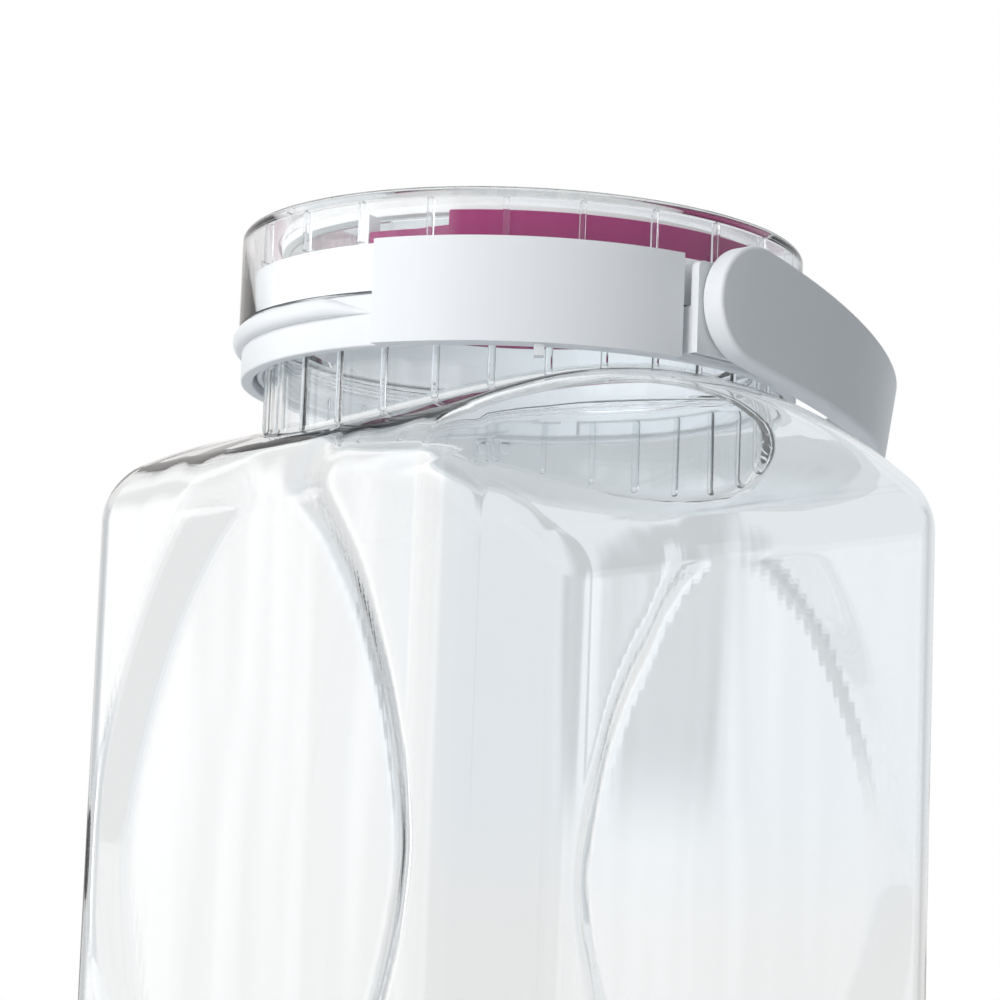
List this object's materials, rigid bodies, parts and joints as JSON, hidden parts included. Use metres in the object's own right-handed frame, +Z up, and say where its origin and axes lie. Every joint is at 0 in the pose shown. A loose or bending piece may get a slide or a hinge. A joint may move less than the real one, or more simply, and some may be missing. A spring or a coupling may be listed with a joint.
{
  "type": "storage canister",
  "caption": "Square clear plastic storage canister with a vaulted shoulder, a wide round neck, a white collar with a swinging strap handle, and a clear twist-off lid with magenta cam rails.",
  "frame": {"origin": "centre of the base on the bottle's axis, in the plane that the canister stands on", "axes": "+Z up along the bottle's axis, -Y out of the front face, +X out of the side face that the handle hangs over"},
  "size_m": [0.1446, 0.1347, 0.2636],
  "materials": {
    "clear_pet": "gloss",
    "clear_lid": "gloss",
    "white_plastic": "satin",
    "magenta_plastic": "satin",
    "silicone": "matte"
  },
  "bodies": {
    "canister": {"bottle": "clear_pet", "collar": "white_plastic", "front_band": "white_plastic", "back_band": "white_plastic"},
    "handle": {"handle_strap": "white_plastic"},
    "seal": {"gasket": "silicone"},
    "lid": {"lid_shell": "clear_lid", "lid_ring": "white_plastic", "front_cam_rail": "magenta_plastic", "back_cam_rail": "magenta_plastic"}
  },
  "joints": [
    {"name": "handle_swing", "type": "hinge", "parent": "canister", "child": "handle", "pos_m": [0, 0, 0.2446], "axis": [0.134, -0.991, 0], "range_deg": [0, 204.8]},
    {"name": "lid_lift", "type": "slide", "parent": "canister", "child": "seal", "axis": [0, 0, 1], "range_m": [0, 0.08]},
    {"name": "lid_turn", "type": "hinge", "parent": "seal", "child": "lid", "pos_m": [0, 0, 0.2616], "axis": [0, 0, 1], "range_deg": [0, 30]}
  ]
}
